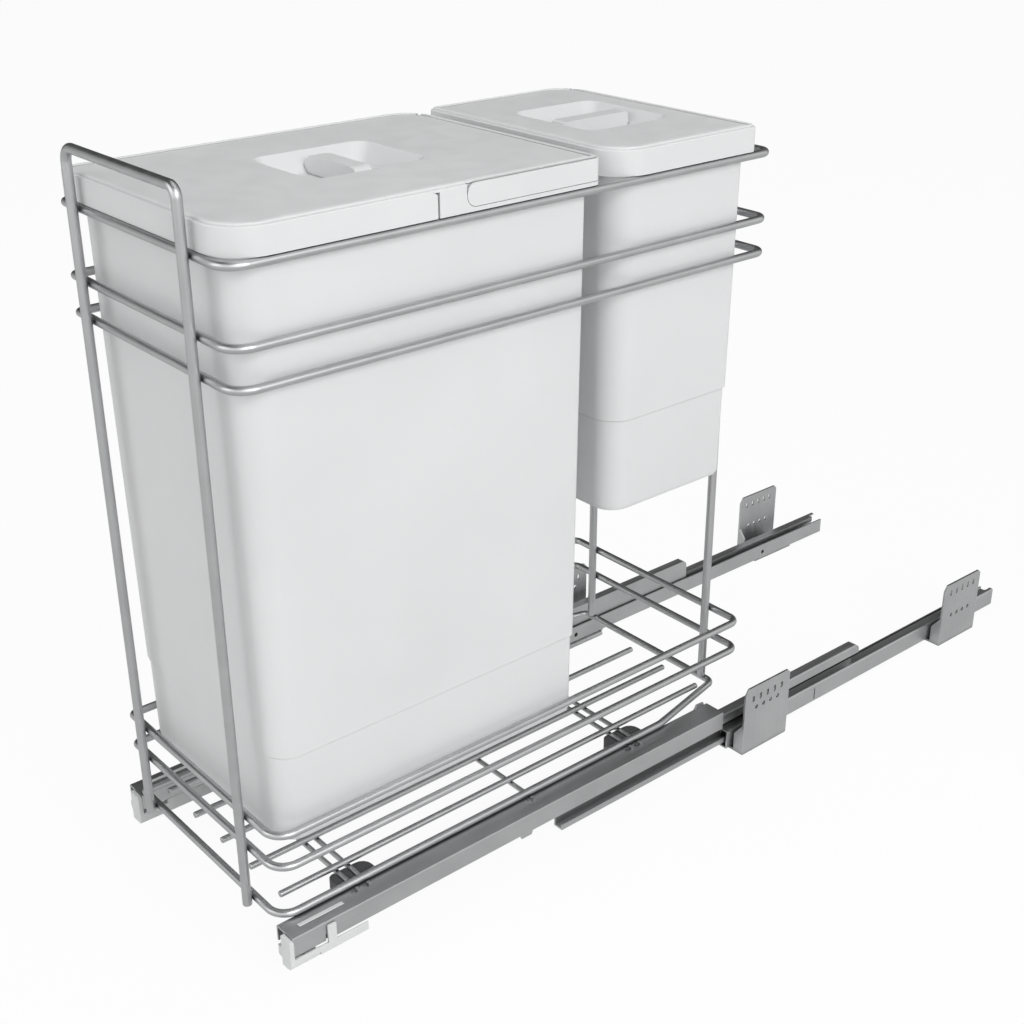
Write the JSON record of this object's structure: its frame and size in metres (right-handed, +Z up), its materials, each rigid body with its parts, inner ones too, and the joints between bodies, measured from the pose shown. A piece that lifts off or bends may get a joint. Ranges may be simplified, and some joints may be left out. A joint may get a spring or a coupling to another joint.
{
  "type": "pull out waste bin unit",
  "caption": "Pull-out waste bin insert for a base cabinet: a wire basket on side-mounted slides, with a large and a small lidded bin.",
  "frame": {"origin": "middle of the width and depth of the pulled-out unit, at the underside of the side brackets' feet", "axes": "+X to the right seen from the front, +Y into the cabinet, +Z up; the unit is drawn fully pulled out"},
  "size_m": [0.264, 0.8482, 0.5604],
  "materials": {
    "wire": "satin grey coating",
    "rail_steel": "zinc plated, smooth",
    "bracket_steel": "zinc plated, pressed",
    "roller_steel": "bright",
    "cage_plastic": "natural",
    "catch_plastic": "milky white",
    "clip_plastic": "dark grey",
    "bin_plastic": "pale grey, fine texture",
    "lid_plastic": "pale grey, fine texture"
  },
  "bodies": {
    "cabinet_side": {"cabinet_rail_right": "rail_steel", "front_bracket_right": "bracket_steel", "rear_bracket_right": "bracket_steel", "cabinet_rail_left": "rail_steel", "front_bracket_left": "bracket_steel", "rear_bracket_left": "bracket_steel"},
    "basket": {"drawer_member_right": "rail_steel", "front_catch_right": "catch_plastic", "front_wire_clip_right": "clip_plastic", "rear_wire_clip_right": "clip_plastic", "back_leg_right": "wire", "drawer_member_left": "rail_steel", "front_catch_left": "catch_plastic", "front_wire_clip_left": "clip_plastic", "rear_wire_clip_left": "clip_plastic", "back_leg_left": "wire", "upper_ring_1": "wire", "upper_ring_2": "wire", "upper_ring_3": "wire", "lower_ring_1": "wire", "lower_ring_2": "wire", "base_ring": "wire", "front_frame": "wire", "floor_wire_1": "wire", "floor_wire_2": "wire", "floor_wire_3": "wire", "floor_wire_4": "wire", "floor_wire_5": "wire", "cross_wire_front_a": "wire", "cross_wire_front_b": "wire", "cross_wire_middle": "wire", "cross_wire_rear_a": "wire", "cross_wire_rear_b": "wire"},
    "middle_right": {"middle_member_right": "rail_steel"},
    "upper_cage_right": {"upper_cage_right": "cage_plastic", "upper_roller_right_1": "roller_steel", "upper_roller_right_2": "roller_steel", "upper_roller_right_3": "roller_steel"},
    "lower_cage_right": {"lower_cage_right": "cage_plastic", "lower_roller_right_1": "roller_steel", "lower_roller_right_2": "roller_steel", "lower_roller_right_3": "roller_steel"},
    "middle_left": {"middle_member_left": "rail_steel"},
    "upper_cage_left": {"upper_cage_left": "cage_plastic", "upper_roller_left_1": "roller_steel", "upper_roller_left_2": "roller_steel", "upper_roller_left_3": "roller_steel"},
    "lower_cage_left": {"lower_cage_left": "cage_plastic", "lower_roller_left_1": "roller_steel", "lower_roller_left_2": "roller_steel", "lower_roller_left_3": "roller_steel"},
    "large_bin": {"large_bin": "bin_plastic"},
    "large_bin_lid": {"large_bin_lid": "lid_plastic"},
    "large_bin_handle": {"large_bin_handle": "bin_plastic"},
    "small_bin": {"small_bin": "bin_plastic"},
    "small_bin_lid": {"small_bin_lid": "lid_plastic"}
  },
  "joints": [
    {"name": "basket_slide", "type": "slide", "parent": "cabinet_side", "child": "basket", "axis": [0, 1, 0], "range_m": [0, 0.42]},
    {"name": "middle_right_slide", "type": "slide", "parent": "cabinet_side", "child": "middle_right", "axis": [0, 1, 0], "range_m": [0, 0.21]},
    {"name": "upper_cage_right_slide", "type": "slide", "parent": "cabinet_side", "child": "upper_cage_right", "axis": [0, 1, 0], "range_m": [0, 0.315]},
    {"name": "lower_cage_right_slide", "type": "slide", "parent": "cabinet_side", "child": "lower_cage_right", "axis": [0, 1, 0], "range_m": [0, 0.105]},
    {"name": "middle_left_slide", "type": "slide", "parent": "cabinet_side", "child": "middle_left", "axis": [0, 1, 0], "range_m": [0, 0.21]},
    {"name": "upper_cage_left_slide", "type": "slide", "parent": "cabinet_side", "child": "upper_cage_left", "axis": [0, 1, 0], "range_m": [0, 0.315]},
    {"name": "lower_cage_left_slide", "type": "slide", "parent": "cabinet_side", "child": "lower_cage_left", "axis": [0, 1, 0], "range_m": [0, 0.105]},
    {"name": "large_bin_lift", "type": "slide", "parent": "basket", "child": "large_bin", "axis": [0, 0, 1], "range_m": [0, 0.45]},
    {"name": "small_bin_lift", "type": "slide", "parent": "basket", "child": "small_bin", "axis": [0, 0, 1], "range_m": [0, 0.3]},
    {"name": "large_lid_hinge", "type": "hinge", "parent": "large_bin", "child": "large_bin_lid", "pos_m": [0, -0.13245, 0.5365], "axis": [-1, 0, 0], "range_deg": [0, 100]},
    {"name": "small_lid_hinge", "type": "hinge", "parent": "small_bin", "child": "small_bin_lid", "pos_m": [0, 0.02385, 0.5365], "axis": [-1, 0, 0], "range_deg": [0, 100]},
    {"name": "carry_handle_hinge", "type": "hinge", "parent": "large_bin", "child": "large_bin_handle", "pos_m": [0, -0.23265, 0.5292], "axis": [1, 0, 0], "range_deg": [0, 90]}
  ],
  "couplings": [
    {"joint": "middle_right_slide", "follows": "basket_slide", "ratio": 0.5},
    {"joint": "upper_cage_right_slide", "follows": "basket_slide", "ratio": 0.75},
    {"joint": "lower_cage_right_slide", "follows": "basket_slide", "ratio": 0.25},
    {"joint": "middle_left_slide", "follows": "basket_slide", "ratio": 0.5},
    {"joint": "upper_cage_left_slide", "follows": "basket_slide", "ratio": 0.75},
    {"joint": "lower_cage_left_slide", "follows": "basket_slide", "ratio": 0.25}
  ]
}
